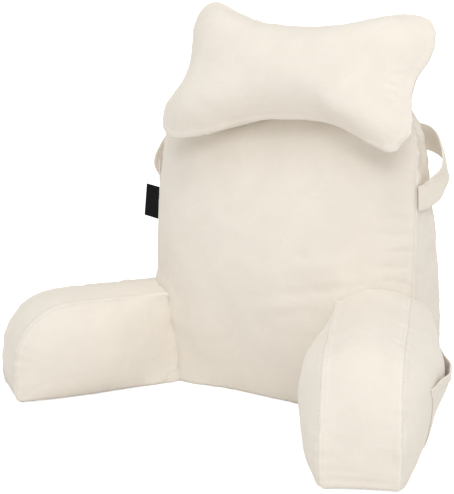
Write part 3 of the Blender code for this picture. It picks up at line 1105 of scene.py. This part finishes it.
def plush(name, seamed):
    """Short-pile plush: patches where the nap lies the other way, a fine pile, and seams with a painted shade
    line in the groove and a painted highlight on the welt.
    """
    cloth = Finish(name, Roughness=0.92, Sheen_Weight=0.35, Sheen_Roughness=0.45, Specular_IOR_Level=0.18)
    cloth.feed(cloth.shader.inputs["Sheen Tint"], (1.0, 0.97, 0.92, 1.0))
    at = cloth.place()
    patches = ((cloth.noise(at, 11.0, 5.0, 0.66, 1.1) - 0.40) * 3.2).clamped()
    pile = cloth.noise(at, 620.0, 3.0, 0.6)
    tufts = cloth.noise(at, 190.0, 3.0, 0.55)
    colour = cloth.blend(patches * 0.6 + pile * 0.3, PLUSH_DEEP, PLUSH_BRIGHT)
    height = pile * 0.35 + tufts * 0.65
    normal = cloth.bump(height, 0.0009, 0.55)
    rumple = cloth.noise(at, 34.0, 3.0, 0.55, 0.4)
    normal = cloth.bump(rumple, 0.0040, 0.30, normal)
    if seamed:
        across = cloth.attribute("seam_side")
        # Painted shade: a darker line along the seam's groove, where the line mask is near 1
        line = (1.0 - ((across + 0.0006) / 0.0014).size()).clamped()
        # Painted highlight: a lighter stripe along the welt; the same mask also raises the welt in the bump
        welt_and_painted_highlight = (1.0 - ((across - 0.0028) / 0.0030).size()).clamped()
        colour = cloth.blend(line * 0.14, cloth.blend(welt_and_painted_highlight * 0.50, colour, PLUSH_WELT_PAINTED_HIGHLIGHT), PLUSH_SEAM_PAINTED_SHADE)
        normal = cloth.bump(welt_and_painted_highlight - line * 0.4, 0.0012, 0.6, normal)
    return cloth.wear(colour, normal)


def sewing_thread():
    thread = Finish("cream_thread", Roughness=0.6)
    at = thread.place()
    twist = thread.noise(at, 900.0, 2.0)
    return thread.wear(thread.blend(twist, THREAD_RGB, PLUSH_BRIGHT), thread.bump(twist, 0.0004))


def woven_tape():
    """Black tape in a fine satin rib."""
    tape = Finish("black_tape_weave", Roughness=0.7, Specular_IOR_Level=0.10)
    across = tape.node("ShaderNodeSeparateXYZ", {}, {0: tape.cloth_place()}, "X")
    rib = (across.beside("Y") * 560.0).wave() * 0.5 + 0.5
    pick = (across * 820.0).wave() * 0.5 + 0.5
    weave = rib * 0.6 + pick * 0.4
    colour = tape.blend(weave, TAPE_DARK, TAPE_LIGHT)
    return tape.wear(colour, tape.bump(weave, 0.0004, 0.6))


def look_from_the_front():
    back = Vector((
        math.sin(VIEW_AZIMUTH) * math.cos(VIEW_ELEVATION),
        -math.cos(VIEW_AZIMUTH) * math.cos(VIEW_ELEVATION),
        math.sin(VIEW_ELEVATION),
    ))
    level = Vector((math.cos(VIEW_AZIMUTH), math.sin(VIEW_AZIMUTH), 0.0))
    above = back.cross(level)
    right = level * math.cos(VIEW_ROLL) + above * math.sin(VIEW_ROLL)
    up = above * math.cos(VIEW_ROLL) - level * math.sin(VIEW_ROLL)
    turn = Matrix((right, up, back)).transposed().to_4x4()
    turn.translation = VIEW_TARGET + back * VIEW_DISTANCE
    lens = bpy.data.cameras.new("camera")
    lens.sensor_width = SENSOR
    lens.lens = VIEW_FOCAL
    lens.clip_start = 0.05
    lens.clip_end = 100.0
    camera = bpy.data.objects.new("camera", lens)
    camera.matrix_world = turn
    bpy.context.scene.collection.objects.link(camera)
    bpy.context.scene.camera = camera


def soft_light(name, azimuth, elevation, distance, size, power):
    """A square soft box aimed at the pillow."""
    a, e = math.radians(azimuth), math.radians(elevation)
    back = Vector((math.sin(a) * math.cos(e), -math.cos(a) * math.cos(e), math.sin(e)))
    box = bpy.data.lights.new(name, "AREA")
    box.shape = "SQUARE"
    box.size = size
    box.energy = power
    lamp = bpy.data.objects.new(name, box)
    lamp.location = LIGHT_TARGET + back * distance
    lamp.rotation_euler = (-back).to_track_quat("-Z", "Y").to_euler()
    bpy.context.scene.collection.objects.link(lamp)


def set_the_stage():
    """A pale floor that is bright to the camera alone, an even studio and two soft boxes."""
    bpy.ops.mesh.primitive_plane_add(size=60.0, location=(0.0, 0.0, -0.0002))
    floor = bpy.context.object
    floor.name = "floor"
    paper = Finish("pale_floor", Roughness=0.9, Specular_IOR_Level=0.1, Emission_Strength=0.60)
    seen = paper.node("ShaderNodeLightPath", {}, {}, "Is Camera Ray")
    paper.feed(paper.shader.inputs["Emission Color"], paper.blend(seen, BLACK, WHITE))
    grain = paper.noise(paper.place(), 3.0, 2.0)
    floor.data.materials.append(paper.wear(paper.blend(grain * 0.1, FLOOR_RGB, FLOOR_SHADE)))
    bpy.context.scene.view_settings.view_transform = "Standard"
    world = bpy.data.worlds.new("studio")
    world.use_nodes = True
    around = world.node_tree.nodes["Background"].inputs
    around["Color"].default_value = STUDIO_RGB
    around["Strength"].default_value = STUDIO_LIGHT
    bpy.context.scene.world = world
    soft_light("key", *KEY_LIGHT)
    soft_light("top", *TOP_LIGHT)


def back_side(points, nearest, numbers):
    """Positive on the side strip of the backrest, negative on its panels."""
    ahead = points[:, 1] - nearest[:, 1]
    return np.where(numbers == 0, ahead, -ahead)


def make_backrest():
    lines = backrest_seam_lines()
    neighbours = ("arm_left", "arm_right", "head_pillow")
    folds = folds_at(back_place, BACK_FOLDS)
    return stuffed_cushion("backrest", lines, back_side, neighbours, BACK_STUFFING, folds)


def make_arm(side, arm, back_surface):
    """An arm, its end rumpled, its strip and outer panel domed, sewn onto the backrest."""

    def strip_side(points, nearest, numbers):
        """Positive on the strip over the arm, negative on its panels."""
        out = np.array([arm_out(arm, Vector(at)) for at in points])
        return np.where(numbers == 0, out, ARM_STRIP - out)

    def strip_dome(points):
        """How far the strip over the arm stands higher, and its end further back, than it was cut."""
        out = np.array([arm_out(arm, Vector(at)) for at in points])
        share = np.clip((out + 0.012) / (ARM_STRIP + 0.036), 0.0, 1.0)
        high = smooth_all((points[:, 2] - 0.55 * arm.height) / (0.45 * arm.height))
        rise = arm.strip_dome * np.sin(np.pi * share) * high
        along = np.array(arm_place(arm, 1.0, 0.0, 0.0) - arm_place(arm, 0.0, 0.0, 0.0))
        ahead = (points - np.array(arm_place(arm, 0.0, 0.0, 0.0))) @ along
        far = smooth_all((ahead - 0.12) / (arm.length - 0.12)) * np.clip(out / ARM_STRIP, 0.0, 1.2)
        return rise[:, None] * np.array((0.0, 0.0, 1.0)) - (arm.end_slant * far)[:, None] * along

    end = arm.length
    folds = [
        (arm_place(arm, end, 0.01, 0.018), arm_place(arm, end, 0.11, 0.014), 0.005, -0.0022),
        (arm_place(arm, end, -0.01, 0.034), arm_place(arm, end, 0.07, 0.030), 0.006, -0.0016),
        (arm_place(arm, 0.05, 0.20, 0.135), arm_place(arm, 0.17, 0.20, 0.135), 0.045, arm.panel_dome),
    ]
    return stuffed_cushion(
        "arm_" + side,
        arm_seam_lines(arm),
        strip_side,
        ("backrest",),
        ARM_STUFFING,
        folds,
        sewn_to=back_surface,
        dome=strip_dome,
    )


def face_side(points, nearest, numbers):
    """Positive on the head pillow's front panel."""
    _, _, out = head_axes()
    return (points - np.array(SHIFT + Vector(HEAD_CENTRE))) @ np.array(out)


def make_head_pillow():
    lines = [head_seam_line()]
    folds = folds_at(head_place, HEAD_FOLDS)
    return stuffed_cushion("head_pillow", lines, face_side, ("backrest",), HEAD_STUFFING, folds)


look_from_the_front()
set_the_stage()
STITCH_TREE = stitch_tree()
CUSHION_CLOTH = plush("cream_plush_cushion", True)
STRAP_CLOTH = plush("cream_plush_strap", False)
THREAD = sewing_thread()
TAPE = woven_tape()

backrest = make_backrest()
back_surface = surface_of(backrest)
arm_left = make_arm("left", ARMS["left"], back_surface)
arm_right = make_arm("right", ARMS["right"], back_surface)
head_pillow = make_head_pillow()
for piece in (backrest, arm_left, arm_right, head_pillow):
    piece.data.materials.append(CUSHION_CLOTH)
    ride_root(piece)
    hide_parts(piece.name.replace("_cushion", ""))

make_handle("left", -1)
make_handle("right", 1)
make_pocket(arm_right, ARMS["right"])
make_tag()
